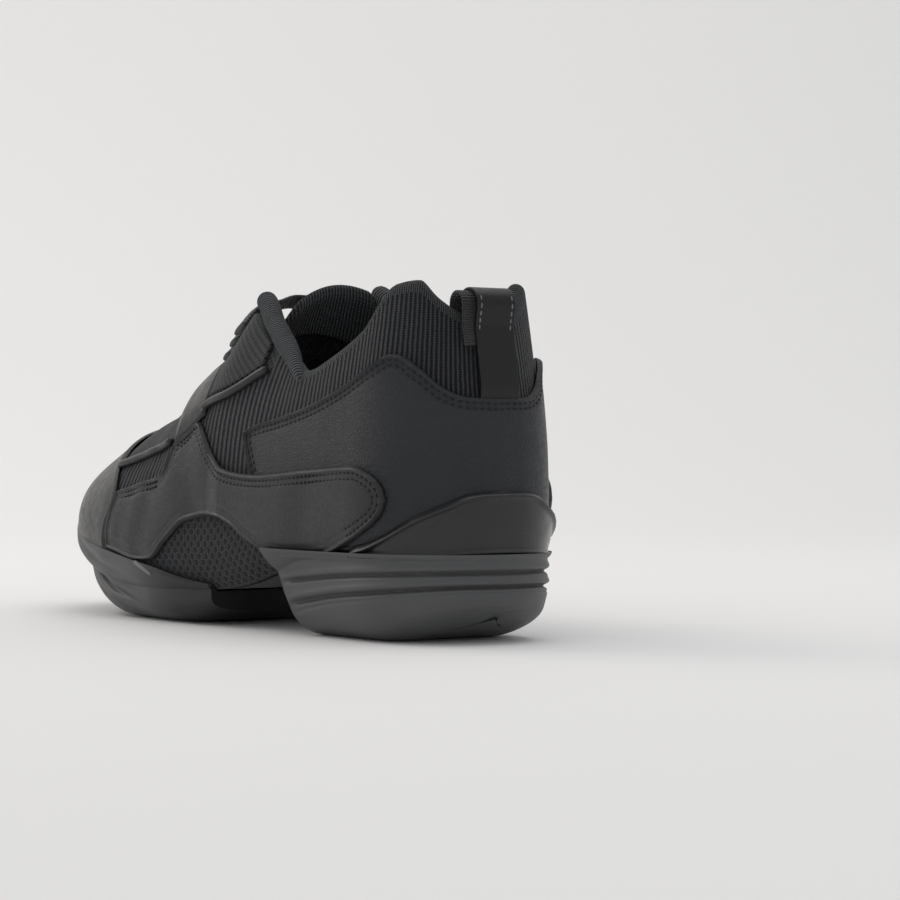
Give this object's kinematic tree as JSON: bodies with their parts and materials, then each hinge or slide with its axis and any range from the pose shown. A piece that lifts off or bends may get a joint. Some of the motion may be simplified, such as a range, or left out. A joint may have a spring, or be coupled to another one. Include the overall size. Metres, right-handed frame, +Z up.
{
  "type": "dance sneaker",
  "caption": "Left dance sneaker with a split rubber sole, padded ribbed-fabric collar, leather panels, instep strap, flat laces and a heel loop.",
  "frame": {"origin": "on the floor, in the middle of the flat spot under the heel block, 38 mm ahead of the heel seam", "axes": "+Y from heel to toe, +X to the inner side of this left shoe, +Z up"},
  "size_m": [0.0917, 0.2706, 0.1173],
  "materials": {
    "ribbed_fabric": "black knitted fabric with fine vertical ribs, padded at the collar",
    "sole_rubber": "black moulded sole rubber, satin",
    "cup_rubber": "black moulded heel cup, glossy rim",
    "board_fabric": "dark navy lasting fabric",
    "insole_fabric": "black knit over foam",
    "grained_leather": "black leather with a fine grain",
    "smooth_leather": "smooth black leather, satin",
    "holed_mesh": "black mesh with round holes",
    "spacer_mesh": "black fuzzy spacer knit",
    "piping_leather": "rolled black leather edge",
    "woven_band": "black woven band with fine cross ribs over foam",
    "lace_fabric": "flat black woven lace",
    "loop_leather": "black leather ribbon, bare, with ribbed webbing behind"
  },
  "bodies": {
    "root": {"collar_band_lateral": "woven_band", "collar_band_medial": "woven_band", "eyestay_lateral": "holed_mesh", "eyestay_medial": "holed_mesh", "forefoot_outsole": "sole_rubber", "heel_cup": "cup_rubber", "heel_outsole": "sole_rubber", "insole": "insole_fabric", "instep_strap": "smooth_leather", "lace_bar_1": "lace_fabric", "lace_bar_2": "lace_fabric", "lace_bar_3": "lace_fabric", "lasting_board": "board_fabric", "piping_front_lateral": "piping_leather", "piping_front_medial": "piping_leather", "piping_rear_lateral": "piping_leather", "piping_rear_medial": "piping_leather", "pull_loop": "loop_leather", "quarter": "grained_leather", "side_panel_lateral": "smooth_leather", "side_panel_medial": "smooth_leather", "toe_cap": "smooth_leather", "tongue": "spacer_mesh", "upper": "ribbed_fabric"}
  },
  "joints": []
}
